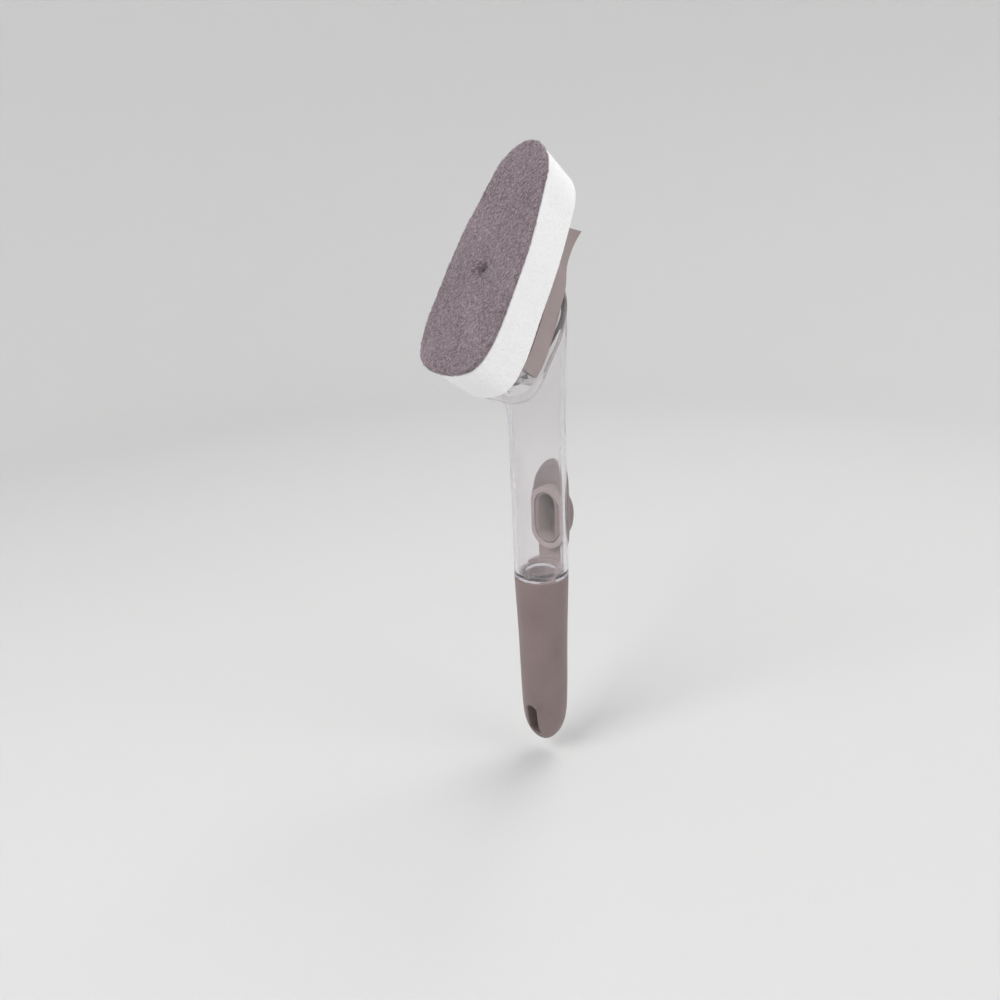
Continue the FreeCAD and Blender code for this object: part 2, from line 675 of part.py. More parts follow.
def write(name, piece):
    """Write one piece and print what it holds."""
    piece.exportStep(os.path.join("parts", name + ".step"))
    print(name, len(piece.Solids), "solid", round(piece.Volume), "mm3", "valid", piece.isValid())


main()
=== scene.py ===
"""Looks of a dish wand: clear soap handle, press button, screw-off grip and scrubbing head.

Sizes are in millimetres in the wand's own frame: the origin is on the handle's axis where tube
and grip meet, +Z runs up the handle and -Y is the pad's side. Meshes are made in metres.
"""

import logging
import math
from dataclasses import dataclass, field
from enum import Enum

import bmesh
import bpy
import numpy as np
from mathutils import Matrix, Vector, noise


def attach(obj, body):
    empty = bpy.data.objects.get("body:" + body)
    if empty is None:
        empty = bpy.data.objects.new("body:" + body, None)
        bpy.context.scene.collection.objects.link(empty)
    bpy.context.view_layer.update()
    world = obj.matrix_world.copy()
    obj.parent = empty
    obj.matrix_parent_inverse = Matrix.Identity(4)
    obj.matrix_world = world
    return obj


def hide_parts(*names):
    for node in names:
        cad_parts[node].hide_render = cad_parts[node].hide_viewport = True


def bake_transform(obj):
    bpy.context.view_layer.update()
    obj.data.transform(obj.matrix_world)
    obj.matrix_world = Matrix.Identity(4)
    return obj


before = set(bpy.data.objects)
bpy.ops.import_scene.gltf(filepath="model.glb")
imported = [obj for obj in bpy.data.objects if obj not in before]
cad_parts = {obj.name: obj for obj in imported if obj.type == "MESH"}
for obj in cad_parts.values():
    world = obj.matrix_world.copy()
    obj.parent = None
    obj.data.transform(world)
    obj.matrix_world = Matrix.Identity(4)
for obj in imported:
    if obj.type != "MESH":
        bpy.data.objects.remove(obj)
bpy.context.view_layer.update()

MM = 0.001
LOG = logging.getLogger("dish_wand")
Colour = tuple[float, float, float]
Triple = tuple[float, float, float]
Pair = tuple[float, float]
Socket = bpy.types.NodeSocket


class Body(Enum):
    """The bodies that the made pieces ride on."""

    WAND = "wand"
    BUTTON = "button"
    HEAD = "head"


class Slot(Enum):
    """The record's material slots of the made pieces."""

    TAUPE_SOFT = "taupe_rubber"
    FOAM = "foam"
    SCOURER = "scourer"


class Mesher:
    """Mesh helpers that the soft pieces share."""

    @staticmethod
    def closed_spline(points: np.ndarray, count: int) -> np.ndarray:
        """Smooth closed curve through points, cut into even steps.

        Args:
            points: Points of the curve in order, one row each.
            count: Number of points wanted.

        Returns:
            The evenly spaced points, the first at the first point given.
        """
        ring = np.vstack((points, points[:1]))
        steps = np.linalg.norm(np.diff(ring, axis=0), axis=1)
        knots = np.concatenate(([0.0], np.cumsum(steps)))
        size = len(points)
        matrix = np.zeros((size, size))
        slopes = np.diff(ring, axis=0) / steps[:, None]
        wanted = np.zeros((size, points.shape[1]))
        for i in range(size):
            before, after = steps[i - 1], steps[i]
            matrix[i, i - 1] += after
            matrix[i, i] += 2 * (before + after)
            matrix[i, (i + 1) % size] += before
            wanted[i] = 3 * (after * slopes[i - 1] + before * slopes[i])
        tangents = np.linalg.solve(matrix, wanted)
        fine = np.linspace(0.0, knots[-1], 40 * size, endpoint=False)
        span = np.clip(np.searchsorted(knots, fine, side="right") - 1, 0, size - 1)
        width = steps[span][:, None]
        t = ((fine - knots[span]) / steps[span])[:, None]
        start, end = ring[span], ring[span + 1]
        leave, arrive = tangents[span] * width, tangents[(span + 1) % size] * width
        curve = (
            start * (2 * t**3 - 3 * t**2 + 1)
            + leave * (t**3 - 2 * t**2 + t)
            + end * (3 * t**2 - 2 * t**3)
            + arrive * (t**3 - t**2)
        )
        loop = np.vstack((curve, curve[:1]))
        length = np.concatenate(([0.0], np.cumsum(np.linalg.norm(np.diff(loop, axis=0), axis=1))))
        even = np.linspace(0.0, length[-1], count, endpoint=False)
        return np.column_stack([np.interp(even, length, loop[:, k]) for k in range(points.shape[1])])

    @staticmethod
    def inset(ring: np.ndarray, distance: float) -> np.ndarray:
        """Moves a flat ring inward along its own normal.

        Args:
            ring: Points of a closed ring that runs anticlockwise.
            distance: How far inward.

        Returns:
            The moved ring.
        """
        tangent = np.roll(ring, -1, axis=0) - np.roll(ring, 1, axis=0)
        tangent /= np.linalg.norm(tangent, axis=1)[:, None]
        return ring + np.column_stack((-tangent[:, 1], tangent[:, 0])) * distance

    @staticmethod
    def ring_faces(rings: int, around: int, closed: bool) -> list[tuple[int, ...]]:
        """Quads between neighbouring rings.

        Args:
            rings: Number of rings.
            around: Points in each ring.
            closed: Whether the last ring joins the first one.

        Returns:
            The faces as vertex numbers.
        """
        faces = []
        for r in range(rings if closed else rings - 1):
            low, high = r * around, (r + 1) % rings * around
            for k in range(around):
                n = (k + 1) % around
                faces.append((low + k, low + n, high + n, high + k))
        return faces

    @staticmethod
    def piece(name: str, points: np.ndarray, faces: list[tuple[int, ...]]) -> bpy.types.Object:
        """Smooth mesh object at the origin with its faces turned outward.

        Args:
            name: The piece's name.
            points: Vertices in metres.
            faces: Faces as vertex numbers.

        Returns:
            The linked object.
        """
        mesh = bpy.data.meshes.new(name)
        mesh.from_pydata(points.tolist(), [], faces)
        shape = bmesh.new()
        shape.from_mesh(mesh)
        bmesh.ops.recalc_face_normals(shape, faces=shape.faces)
        shape.to_mesh(mesh)
        shape.free()
        mesh.shade_smooth()
        made = bpy.data.objects.new(name, mesh)
        bpy.context.scene.collection.objects.link(made)
        return made


def dress(node: str, material: bpy.types.Material) -> None:
    """Puts a finish on a piece that keeps its solid shape.

    Args:
        node: The piece's name.
        material: Its finish.
    """
    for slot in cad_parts[node].material_slots:
        slot.material = material
    LOG.info("%s dressed in %s", node, material.name)


class NodeTree:
    """A node tree under construction."""

    def __init__(self, tree: bpy.types.NodeTree) -> None:
        """Takes the tree that the nodes go into."""
        self.tree = tree

    def feed(self, socket: Socket, value: object) -> None:
        """Sets a socket to a value or joins it to another socket.

        Args:
            socket: The input socket.
            value: A constant, or the output socket to join to it.
        """
        if isinstance(value, Socket):
            self.tree.links.new(value, socket)
        else:
            socket.default_value = value

    def node(self, kind: str, settings: dict[str, object] | None = None, **inputs: object) -> bpy.types.Node:
        """Adds a node.

        Args:
            kind: The node's type name.
            settings: Properties of the node itself.
            inputs: Values or sockets for its inputs, with _ for a space in a name.

        Returns:
            The new node.
        """
        made = self.tree.nodes.new(kind)
        for key, value in (settings or {}).items():
            setattr(made, key, value)
        for key, value in inputs.items():
            name = key.replace("_", " ")
            self.feed(next(s for s in made.inputs if s.name == name and s.enabled), value)
        return made

    def math(self, operation: str, first: object, second: object, kind: str = "Math") -> Socket:
        """Result of a math node with two inputs.

        Args:
            operation: The node's operation.
            first: First value or socket.
            second: Second value or socket, or the factor of a vector's scaling.
            kind: Math for numbers, VectorMath for vectors.

        Returns:
            The result's socket.
        """
        made = self.node("ShaderNode" + kind, {"operation": operation})
        for socket, value in zip([s for s in made.inputs if s.enabled], (first, second)):
            self.feed(socket, value)
        return next(s for s in made.outputs if s.enabled)

    def vector(self, operation: str, first: object, second: object) -> Socket:
        """Result of a vector math node with two inputs."""
        return self.math(operation, first, second, "VectorMath")

    def plus(self, base: Socket, value: Socket, share: float) -> Socket:
        """Sum of a base and a share of a value."""
        return self.math("ADD", base, self.math("MULTIPLY", value, share))


class MaterialTree(NodeTree):
    """A node material under construction."""

    def __init__(self, name: str) -> None:
        """Starts an empty material with its output node.

        Args:
            name: The material's name.
        """
        self.material = bpy.data.materials.new(name)
        self.material.use_nodes = True
        super().__init__(self.material.node_tree)
        self.tree.nodes.clear()
        self.output = self.tree.nodes.new("ShaderNodeOutputMaterial")

    def place(self) -> Socket:
        """The point's place in the piece's own coordinates."""
        return self.node("ShaderNodeTexCoord").outputs["Object"]

    def stretched(self, place: Socket, longer: Triple, turn: Triple) -> Socket:
        """Coordinates in a turned frame, with the pattern drawn out along its axes.

        Args:
            place: Coordinates to start from.
            longer: How many times longer the pattern is along each turned axis.
            turn: Turn of the frame about each axis in degrees.

        Returns:
            The coordinate socket.
        """
        rotation = tuple(math.radians(a) for a in turn)
        settings = {"vector_type": "TEXTURE"}
        made = self.node("ShaderNodeMapping", settings, Vector=place, Rotation=rotation, Scale=longer)
        return made.outputs["Vector"]

    def noise(self, place: Socket, scale: float, detail: float = 3.0) -> Socket:
        """Noise value from 0 to 1 at a place, with spots to the metre and a number of finer layers."""
        return self.node("ShaderNodeTexNoise", Vector=place, Scale=scale, Detail=detail).outputs["Fac"]

    def ramp(self, value: Socket, stops: list[tuple[float, Colour]]) -> Socket:
        """Colour from a value.

        Args:
            value: The driving value.
            stops: Places from 0 to 1 with their colours.

        Returns:
            The colour socket.
        """
        made = self.node("ShaderNodeValToRGB", Fac=value)
        band = made.color_ramp
        while len(band.elements) < len(stops):
            band.elements.new(1.0)
        for element, (place, colour) in zip(band.elements, stops):
            element.position = place
            element.color = (*colour, 1.0)
        return made.outputs["Color"]

    def span(self, value: Socket, low: float, high: float, source: Pair = (0.3, 0.7)) -> Socket:
        """A value mapped from the ends of a source span to a low and a high result."""
        ends = {"From_Min": source[0], "From_Max": source[1], "To_Min": low, "To_Max": high}
        return self.node("ShaderNodeMapRange", Value=value, **ends).outputs["Result"]

    def bump(self, height: Socket, strength: float, depth_mm: float) -> Socket:
        """Normal bent by a share of a height from 0 to 1, where 1 is a depth in millimetres."""
        made = self.node("ShaderNodeBump", Strength=strength, Distance=depth_mm * MM, Height=height)
        return made.outputs["Normal"]

    def own(self, name: str) -> Socket:
        """A value that the piece carries as an attribute, 0 where it has none."""
        return self.node("ShaderNodeAttribute", {"attribute_name": name}).outputs["Fac"]

    def edge(self, reach_mm: float) -> Socket:
        """Value that rises from 0 on an even face to 1 on a sharp edge.

        Args:
            reach_mm: How far from the edge it starts, in millimetres.

        Returns:
            The value socket.
        """
        eased = self.node("ShaderNodeBevel", {"samples": 4}, Radius=reach_mm * MM).outputs["Normal"]
        face = self.node("ShaderNodeNewGeometry").outputs["Normal"]
        return self.span(self.vector("DOT_PRODUCT", eased, face), 1.0, 0.0, (0.80, 1.0))

    def principled(self, **inputs: object) -> bpy.types.Material:
        """The material with a principled shader that has these inputs."""
        return self.finish(self.node("ShaderNodeBsdfPrincipled", **inputs))

    def finish(self, shader: bpy.types.Node) -> bpy.types.Material:
        """Connects the shader to the output and gives the material."""
        self.feed(self.output.inputs["Surface"], shader.outputs[0])
        return self.material


@dataclass(frozen=True)
class TaupeMoulding:
    """Moulded taupe plastic or rubber: fine spark-eroded grain, paler edges, painted shade inside a hollow.
    """

    name: str
    # hollow: colour of the painted shade inside a hollow
    hollow: Colour
    dark: Colour
    light: Colour
    worn: Colour
    rough: Pair
    grain_per_m: float
    grain_mm: float
    sheen: float = 0.0
    cloud_per_m: float = 55.0
    edge_mm: float = 0.5
    edge_share: float = 0.3
    # how far the hollow attribute pulls the tone down into painted shade
    hollow_shade_share: float = 0.5

    def build(self) -> bpy.types.Material:
        """The finish as a material.

        Returns:
            The new material.
        """
        tree = MaterialTree(self.name)
        place = tree.place()
        cloud = tree.noise(place, self.cloud_per_m, 4.0)
        speck = tree.noise(place, self.grain_per_m * 0.25, 2.0)
        grain = tree.noise(place, self.grain_per_m, 3.0)
        tone = tree.plus(tree.math("MULTIPLY", cloud, 0.7), speck, 0.3)
        tone = tree.plus(tone, tree.edge(self.edge_mm), self.edge_share)
        # painted shade: where the piece's hollow attribute is set, the tone drops to the lowest stop's shade
        # colour
        tone = tree.plus(tone, tree.own("hollow"), -self.hollow_shade_share)
        polish = tree.plus(speck, grain, 0.5)
        stops = [(0.06, self.hollow), (0.38, self.dark), (0.62, self.light), (0.95, self.worn)]
        return tree.principled(
            Base_Color=tree.ramp(tone, stops),
            Roughness=tree.span(polish, *self.rough, (0.5, 1.0)),
            Normal=tree.bump(grain, 0.35, self.grain_mm),
            Sheen_Weight=self.sheen,
            Sheen_Roughness=0.5,
        )


@dataclass(frozen=True)
class ClearPlastic:
    """Clear moulded plastic with faint flow lines and handling haze."""

    name: str
    tint: Colour
    depth_tint: Colour
    depth_per_m: float
    haze: Pair
    clarity: float
    bending: float
    flow_per_m: float = 260.0
    flow_stretch: float = 6.0
    smear_per_m: float = 70.0

    def build(self) -> bpy.types.Material:
        """The finish as a material that lets the lamps through.

        Returns:
            The new material.
        """
        tree = MaterialTree(self.name)
        drawn = tree.stretched(tree.place(), (1.0, 1.0, self.flow_stretch), (0.0, 0.0, 0.0))
        flow = tree.noise(drawn, self.flow_per_m, 2.0)
        smear = tree.noise(tree.place(), self.smear_per_m, 4.0)
        shader = tree.node(
            "ShaderNodeBsdfPrincipled",
            Base_Color=(*self.tint, 1.0),
            Roughness=tree.span(smear, *self.haze),
            Normal=tree.bump(flow, 0.05, 0.06),
            Transmission_Weight=self.clarity,
            IOR=self.bending,
        )
        pass_light = tree.node("ShaderNodeBsdfTransparent", Color=(*self.tint, 1.0))
        lamp_ray = tree.node("ShaderNodeLightPath").outputs["Is Shadow Ray"]
        mix = tree.node("ShaderNodeMixShader", Fac=lamp_ray)
        tree.feed(mix.inputs[1], shader.outputs[0])
        tree.feed(mix.inputs[2], pass_light.outputs[0])
        tint = (*self.depth_tint, 1.0)
        depth = tree.node("ShaderNodeVolumeAbsorption", Color=tint, Density=self.depth_per_m)
        tree.feed(tree.output.inputs["Volume"], depth.outputs[0])
        return tree.finish(mix)


@dataclass(frozen=True)
class FoamCells:
    """White open-cell foam, with painted shade in its cell pits."""

    name: str
    body: Colour
    # colour of the painted shade in the cell pits
    pit: Colour
    small_per_m: float = 1150.0
    large_per_m: float = 520.0
    cloud_per_m: float = 130.0

    def cells(self, tree: MaterialTree, per_m: float) -> Socket:
        """Distance from the middle of the nearest cell, for a number of cells to the metre."""
        made = tree.node("ShaderNodeTexVoronoi", Vector=tree.place(), Scale=per_m, Randomness=1.0)
        return made.outputs["Distance"]

    def build(self) -> bpy.types.Material:
        """The finish as a material.

        Returns:
            The new material.
        """
        tree = MaterialTree(self.name)
        small = tree.span(self.cells(tree, self.small_per_m), 0.0, 1.0, (0.1, 0.45))
        large = tree.span(self.cells(tree, self.large_per_m), 0.55, 1.0, (0.08, 0.4))
        pores = tree.math("MULTIPLY", small, large)
        cloud = tree.noise(tree.place(), self.cloud_per_m, 3.0)
        tone = tree.plus(tree.math("MULTIPLY", pores, 0.7), cloud, 0.3)
        return tree.principled(
            # painted shade: the pit colour darkens the cell pits
            Base_Color=tree.ramp(tone, [(0.15, self.pit), (0.55, self.body)]),
            Roughness=tree.span(pores, 1.0, 0.85, (0.0, 1.0)),
            Normal=tree.bump(pores, 0.45, 0.35),
            Subsurface_Weight=0.35,
            Subsurface_Radius=(1.0, 0.95, 0.95),
            Subsurface_Scale=0.0012,
            Specular_IOR_Level=0.15,
        )


@dataclass(frozen=True)
class ScourFibre:
    """Grey-mauve scouring web: crossed nylon fibres with painted shade in the gaps between them and in the
    outlet's dimple.
    """

    name: str
    # colour of the painted shade in the gaps between fibres
    gap_shade: Colour
    web: Colour
    fibre: Colour
    face_turn: float = 56.0
    strand_turns: Triple = (-52.0, -23.0, 6.0)
    strand_stretch: float = 2.6
    strands_per_m: float = 1900.0
    broad_per_m: float = 60.0
    tone_share: float = 0.24
    broad_share: float = 0.12
    # how far the hollow attribute pulls the tone down into painted shade
    hollow_shade_share: float = 0.09

    def build(self) -> bpy.types.Material:
        """The finish as a material.

        Returns:
            The new material.
        """
        tree = MaterialTree(self.name)
        face = tree.stretched(tree.place(), (1.0, 1.0, 1.0), (self.face_turn, 0.0, 0.0))
        strands = None
        for turn in self.strand_turns:
            place = tree.stretched(face, (1.0, self.strand_stretch, 1.0), (0.0, 0.0, turn))
            layer = tree.noise(place, self.strands_per_m, 3.0)
            strands = layer if strands is None else tree.math("MAXIMUM", strands, layer)
        broad = tree.math("SUBTRACT", tree.noise(tree.place(), self.broad_per_m, 2.0), 0.5)
        tone = tree.math("MULTIPLY", strands, 0.9)
        tone = tree.plus(tone, tree.own("fibre_tone"), self.tone_share)
        tone = tree.plus(tone, broad, self.broad_share)
        # painted shade in the outlet's dimple, from the piece's hollow attribute
        tone = tree.plus(tone, tree.own("hollow"), -self.hollow_shade_share)
        # the lowest stop is the painted shade between fibres
        stops = [(0.44, self.gap_shade), (0.54, self.web), (0.76, self.fibre)]
        return tree.principled(
            Base_Color=tree.ramp(tone, stops),
            Roughness=tree.span(tone, 0.95, 0.75, (0.4, 0.8)),
            Normal=tree.bump(strands, 0.7, 0.35),
            Sheen_Weight=0.25,
            Sheen_Roughness=0.6,
        )


@dataclass(frozen=True)
class SealRubber:
    """Milky silicone of the valve and the seal."""

    name: str
    low: Colour
    high: Colour
    cloud_per_m: float = 240.0
    grain_per_m: float = 2600.0

    def build(self) -> bpy.types.Material:
        """The finish as a material.

        Returns:
            The new material.
        """
        tree = MaterialTree(self.name)
        cloud = tree.noise(tree.place(), self.cloud_per_m, 3.0)
        grain = tree.noise(tree.place(), self.grain_per_m, 2.0)
        return tree.principled(
            Base_Color=tree.ramp(cloud, [(0.35, self.low), (0.65, self.high)]),
            Roughness=tree.span(cloud, 0.38, 0.55),
            Normal=tree.bump(grain, 0.2, 0.04),
            Subsurface_Weight=0.3,
            Subsurface_Radius=(1.0, 0.9, 0.85),
            Subsurface_Scale=0.001,
        )


@dataclass(frozen=True)
class PaleCard:
    """Pale card of the studio's floor and backdrop."""

    name: str
    colour: Colour
    flecks_per_m: float = 900.0
    fleck_tone: float = 0.985

    def build(self) -> bpy.types.Material:
        """The finish as a material.

        Returns:
            The new material.
        """
        tree = MaterialTree(self.name)
        fleck = tree.noise(tree.place(), self.flecks_per_m, 3.0)
        low = tuple(self.fleck_tone * c for c in self.colour)
        return tree.principled(
            Base_Color=tree.ramp(fleck, [(0.3, low), (0.7, self.colour)]),
            Roughness=0.9,
            Specular_IOR_Level=0.1,
        )


class GeometryTree(NodeTree):
    """A geometry node tree under construction, with named inputs for its sizes."""

    def __init__(self, name: str) -> None:
        """Starts a tree that takes a surface and gives a mesh.

        Args:
            name: The tree's name.
        """
        super().__init__(bpy.data.node_groups.new(name, "GeometryNodeTree"))
        self.values: dict[str, object] = {}
        self.tree.interface.new_socket("Surface", in_out="INPUT", socket_type="NodeSocketGeometry")
        self.tree.interface.new_socket("Mesh", in_out="OUTPUT", socket_type="NodeSocketGeometry")
        self.source = self.tree.nodes.new("NodeGroupInput")
        self.surface = self.source.outputs["Surface"]
        self.target = self.tree.nodes.new("NodeGroupOutput")

    def size(self, name: str, kind: str, value: object) -> Socket:
        """Adds a named input.

        Args:
            name: The input's name.
            kind: Float, Int or Material.
            value: What this wand sets it to.

        Returns:
            The socket that carries it.
        """
        self.tree.interface.new_socket(name, in_out="INPUT", socket_type="NodeSocket" + kind)
        self.values[name] = value
        return self.source.outputs[name]

    def random(self, low: object, high: object, seed: object, kind: str = "FLOAT") -> Socket:
        """Random value of a data type for each element, between two ends and from a fixed seed."""
        made = self.node("FunctionNodeRandomValue", {"data_type": kind}, Min=low, Max=high, Seed=seed)
        return next(s for s in made.outputs if s.enabled)

    def bake(self, piece: bpy.types.Object, mesh: Socket, material: bpy.types.Material) -> None:
        """Realises and dresses a mesh socket and makes the result the piece's plain mesh.

        Args:
            piece: The object whose mesh goes in and is replaced.
            mesh: The socket with the result.
            material: The result's finish.
        """
        finish = self.size("Finish", "Material", material)
        whole = self.node("GeometryNodeRealizeInstances", Geometry=mesh).outputs[0]
        dressed = self.node("GeometryNodeSetMaterial", Geometry=whole, Material=finish).outputs[0]
        self.feed(self.target.inputs["Mesh"], dressed)
        modifier = piece.modifiers.new(self.tree.name, "NODES")
        modifier.node_group = self.tree
        for item in self.tree.interface.items_tree:
            if item.in_out == "INPUT" and item.name in self.values:
                modifier[item.identifier] = self.values[item.name]
        bpy.context.view_layer.update()
        shaped = piece.evaluated_get(bpy.context.evaluated_depsgraph_get())
        plain = bpy.data.meshes.new_from_object(shaped)
        piece.modifiers.remove(modifier)
        before, piece.data = piece.data, plain
        plain.name = piece.name
        bpy.data.meshes.remove(before)


@dataclass(frozen=True)
class HeadFrame:
    """The inclined head's own axes: across, along the pad to its tip, and out of its face."""

    deck_height: float = 122.4
    tilt_deg: float = 34.0

    def direction(self, turn_deg: float) -> Triple:
        """Unit direction in the pad's face, turned from across towards the tip."""
        turn, tilt = math.radians(turn_deg), math.radians(self.tilt_deg)
        return math.cos(turn), math.sin(turn) * math.sin(tilt), math.sin(turn) * math.cos(tilt)

    def place(self, points: np.ndarray) -> np.ndarray:
        """Puts points of the head into the wand's frame.

        Args:
            points: Rows of across, along and out, in millimetres.

        Returns:
            The points in metres.
        """
        sine, cosine = math.sin(math.radians(self.tilt_deg)), math.cos(math.radians(self.tilt_deg))
        across, along, out = points.T
        y = along * sine - out * cosine
        z = self.deck_height + along * cosine + out * sine
        return np.column_stack((across, y, z)) * MM


@dataclass(frozen=True)
class PadOutline:
    """Iron-shaped outline of the pad, broad at its low end, with side walls that lean outward."""

    length: float = 101.0
    low_end: float = 46.5
    face_half: float = 19.2
    back_half: float = 17.4
    back_waist: float = 0.95
    tip_inset: float = 1.0
    bottom: float = 10.4
    top: float = 35.3

    def ring(self, height: float, inset: float, count: int) -> np.ndarray:
        """Outline at a height over the deck.

        Args:
            height: Height over the deck.
            inset: How far inside the outline.
            count: Number of points.

        Returns:
            Rows of across and along.
        """
        share = (height - self.bottom) / (self.top - self.bottom)
        half = self.back_half + share * (self.face_half - self.back_half)
        waist = self.back_waist + share * (1 - self.back_waist)
        tip = self.tip_inset * (1 - share)
        stations = [
            (0.0, 0.0, 0.0), (0.34, 0.007, 0.0), (0.74, 0.042, 0.0), (0.94, 0.125, 0.0), (waist, 0.34, 0.0),
            (0.95 * waist, 0.58, 0.0), (0.775, 0.78, 0.0), (0.52, 0.94, tip), (0.0, 1.0, tip),
        ]
        right = [(w * half, a * self.length - self.low_end - t) for w, a, t in stations]
        left = [(-x, along) for x, along in reversed(right[1:-1])]
        return Mesher.inset(Mesher.closed_spline(np.array(right + left), count), inset)


@dataclass
class ScrubbingHead:
    """Slide-off head: hard base, foam pad and scouring pad with the soap outlet."""

    base_finish: TaupeMoulding
    foam_finish: FoamCells
    scour_finish: ScourFibre
    axes: HeadFrame = field(default_factory=HeadFrame)
    outline: PadOutline = field(default_factory=PadOutline)
    outlet_along: float = -2.0
    outlet_radius: float = 2.0
    pinhole_radius: float = 0.5
    foam_top: float = 32.8
    scour_bottom: float = 32.9
    scour_top: float = 35.3
    dimple_depth: float = 2.0
    dimple_reach: float = 3.2
    bare_reach: float = 1.1
    comb_deg: float = 67.0
    lump_height: float = 0.10
    lump_scales: Pair = (0.35, 1.6)
    foam_around: int = 400
    scour_around: int = 360

    def cap_rings(self, edge: Pair, hole: float, shares: list[float], around: int) -> list[np.ndarray]:
        """Rings of a flat face between the pad's edge and the outlet.

        Args:
            edge: Height and inset of the face's rim.
            hole: Radius of the outlet there.
            shares: Shares of the way from the rim to the outlet.
            around: Points in each ring.

        Returns:
            Rings of across, along and out, in the order of the shares.
        """
        rim = self.outline.ring(edge[0], edge[1], around)
        centre = np.array([0.0, self.outlet_along])
        spokes = rim - centre
        mouth = centre + hole * spokes / np.linalg.norm(spokes, axis=1)[:, None]
        level = np.full(around, edge[0])
        return [np.column_stack((rim + (mouth - rim) * share, level)) for share in shares]

    def pad_rings(
        self, profile: list[Pair], under: list[float], upper: list[float], hole: float, around: int
    ) -> np.ndarray:
        """Rings of a pad with the outlet through it, as one closed tube of rings.

        Args:
            profile: Height and inset of each ring up the side wall.
            under: Shares from the rim to the outlet at which the lower face gets a ring.
            upper: The same for the upper face.
            hole: Radius of the outlet.
            around: Points in each ring.

        Returns:
            An array of rings by points by across, along and out.
        """
        rings = self.cap_rings(profile[0], hole, under[::-1], around)
        for edge in profile:
            rings += self.cap_rings(edge, hole, [0.0], around)
        return np.array(rings + self.cap_rings(profile[-1], hole, upper, around))

    def make_foam(self) -> bpy.types.Object:
        """Foam pad with soft edges and an open-celled skin.

        Returns:
            The finished pad.
        """
        low, high, around = self.outline.bottom, self.foam_top, self.foam_around
        profile = [(low, 1.2), (low + 0.15, 0.55), (low + 0.5, 0.15), (low + 1.1, 0.0)]
        profile += [(h, 0.0) for h in np.linspace(low + 1.7, high - 0.7, 28)]
        profile += [(high - 0.2, 0.08), (high, 0.4)]
        caps = [0.03, 0.08, 0.15, 0.25, 0.4, 0.6, 0.8, 0.93, 1.0]
        rings = self.pad_rings(profile, caps, caps, self.outlet_radius, around)
        points = self.axes.place(rings.reshape(-1, 3))
        foam = Mesher.piece("foam_cells", points, Mesher.ring_faces(len(rings), around, True))
        tree = GeometryTree("foam_cell_pits")
        cell = tree.size("Cells to the metre", "Float", 640.0)
        depth = tree.size("Pit depth", "Float", 0.16 * MM)
        place = tree.node("GeometryNodeInputPosition").outputs[0]
        cells = tree.node("ShaderNodeTexVoronoi", Vector=place, Scale=cell)
        pit = tree.math("SUBTRACT", cells.outputs["Distance"], 0.5)
        normal = tree.node("GeometryNodeInputNormal").outputs[0]
        offset = tree.vector("SCALE", normal, tree.math("MULTIPLY", pit, depth))
        pitted = tree.node("GeometryNodeSetPosition", Geometry=tree.surface, Offset=offset).outputs[0]
        tree.bake(foam, pitted, self.foam_finish.build())
        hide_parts("foam_pad")
        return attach(foam, Body.HEAD.value)

    def make_scourer(self) -> bpy.types.Object:
        """Scouring pad: a lumpy felted slab with loose fibres.

        Returns:
            The finished pad.
        """
        low, high, around = self.scour_bottom, self.scour_top, self.scour_around
        profile = [(low, 0.3), (low + 0.25, 0.05), (low + 0.8, 0.0), (low + 1.3, 0.02)]
        profile += [(high - 0.6, 0.12), (high - 0.25, 0.4), (high - 0.06, 0.85)]
        caps = [0.035 + 0.9 * (k / 55) for k in range(56)] + [0.97, 1.0]
        under = [0.2, 0.6, 1.0]
        rings = self.pad_rings(profile, under, caps, self.pinhole_radius, around)
        flat = rings.reshape(-1, 3)
        upper = np.nonzero(flat[:, 2] > high - 0.7)[0]
        away = np.linalg.norm(flat[:, :2] - np.array([0.0, self.outlet_along]), axis=1)
        dip = np.exp(-((away / self.dimple_reach) ** 2))
        flat[upper, 2] -= self.dimple_depth * dip[upper]
        for i in upper:
            spot = Vector(flat[i])
            flat[i, 2] += sum(self.lump_height * noise.noise(spot * scale) for scale in self.lump_scales)
        points = self.axes.place(flat)
        scourer = Mesher.piece("scourer_web", points, Mesher.ring_faces(len(rings), around, True))
        fuzz = scourer.data.attributes.new("fuzz", "BOOLEAN", "FACE")
        start = (len(under) + 1) * around
        grown = [bool(i >= start and d > self.bare_reach) for i, d in enumerate(away)]
        fuzz.data.foreach_set("value", grown)
        # the hollow attribute carries the painted shade of the outlet's dimple
        scourer.data.attributes.new("hollow", "FLOAT", "POINT").data.foreach_set("value", dip)
        self.grow_fibres(scourer)
        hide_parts("scourer_pad")
        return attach(scourer, Body.HEAD.value)

